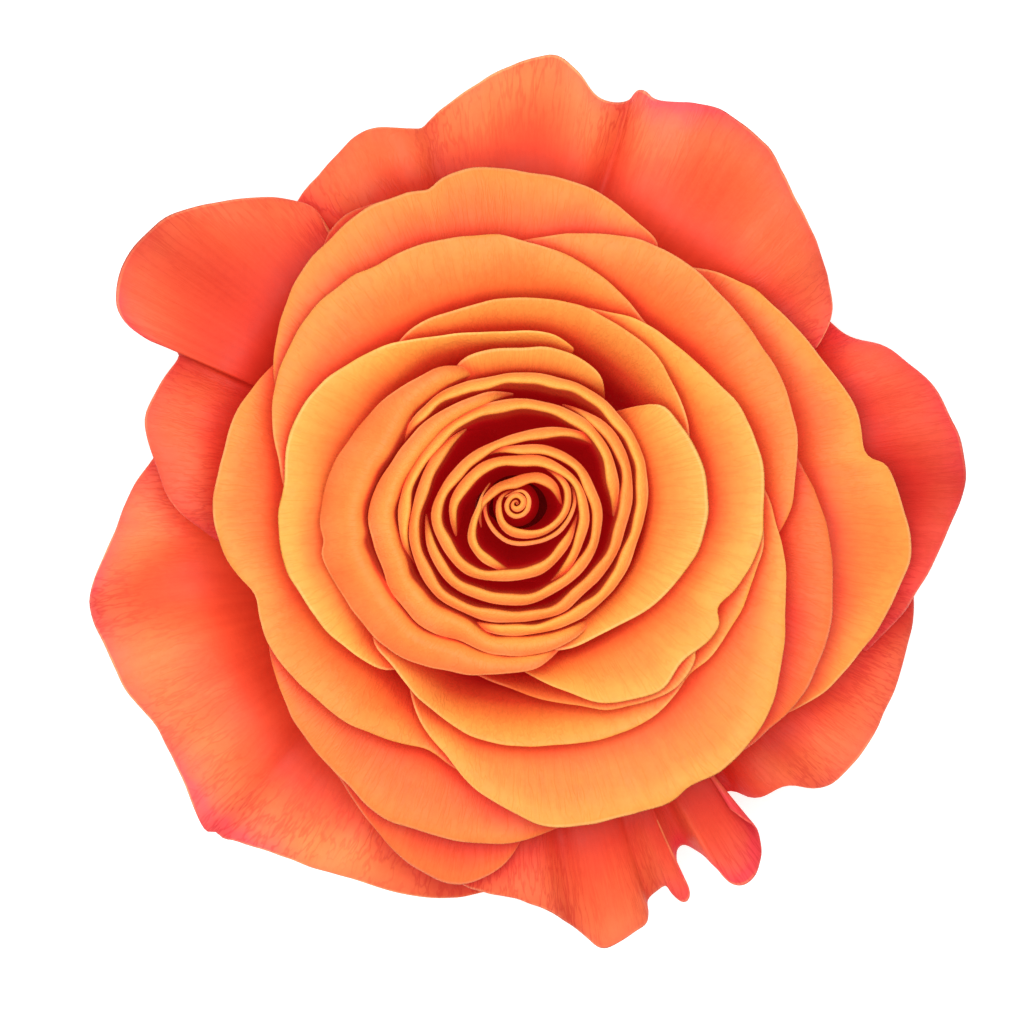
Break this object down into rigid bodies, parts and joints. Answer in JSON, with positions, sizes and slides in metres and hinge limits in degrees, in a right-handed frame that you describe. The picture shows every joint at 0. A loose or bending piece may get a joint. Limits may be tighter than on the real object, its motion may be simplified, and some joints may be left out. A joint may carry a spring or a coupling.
{
  "type": "rose",
  "caption": "Open double rose bloom with layered coral-orange petals, cut under its hip and standing on the cut end and its turned-down sepals.",
  "frame": {"origin": "middle of the cut end of the stub, on the surface the bloom stands on", "axes": "+Z up along the bloom's axis, +X to the right and +Y up in the picture, which looks straight down"},
  "size_m": [0.105, 0.1057, 0.0585],
  "materials": {
    "petal_inner": "living petal, pale orange, satin",
    "petal_middle": "living petal, orange, satin",
    "petal_guard": "living petal, coral, satin",
    "calyx_green": "green leaf tissue, matte",
    "stamen_yellow": "yellow anthers, matte"
  },
  "bodies": {
    "root": {"petal_coil_heart": "petal_inner", "petal_coil_hook": "petal_inner", "petal_coil_beak": "petal_inner", "petal_coil_rim": "petal_inner", "petal_coil_band": "petal_inner", "petal_inner_top": "petal_inner", "petal_inner_right": "petal_inner", "petal_inner_left": "petal_inner", "petal_ring_bottom": "petal_inner", "petal_ring_top": "petal_inner", "petal_second_ring": "petal_inner", "petal_broad_lip": "petal_middle", "petal_bright_right": "petal_middle", "petal_under_ring": "petal_middle", "petal_slit_left": "petal_middle", "petal_upper_left": "petal_middle", "petal_pale_arm": "petal_middle", "petal_bright_lower": "petal_middle", "petal_thin_strip": "petal_middle", "petal_middle_lower": "petal_middle", "petal_middle_upper": "petal_middle", "petal_large_bottom": "petal_middle", "petal_middle_right": "petal_middle", "petal_tall_upper_left": "petal_middle", "petal_left": "petal_middle", "petal_lower_left": "petal_middle", "petal_right_upper": "petal_middle", "petal_right_large": "petal_middle", "petal_peeping_top": "petal_middle", "petal_peeping_bottom": "petal_middle", "petal_guard_horn": "petal_guard", "petal_guard_bottom": "petal_guard", "petal_guard_top": "petal_guard", "petal_guard_right": "petal_guard", "petal_guard_lower_right": "petal_guard", "petal_guard_lower_left": "petal_guard", "calyx": "calyx_green", "stamens_and_styles": "stamen_yellow"}
  },
  "joints": []
}
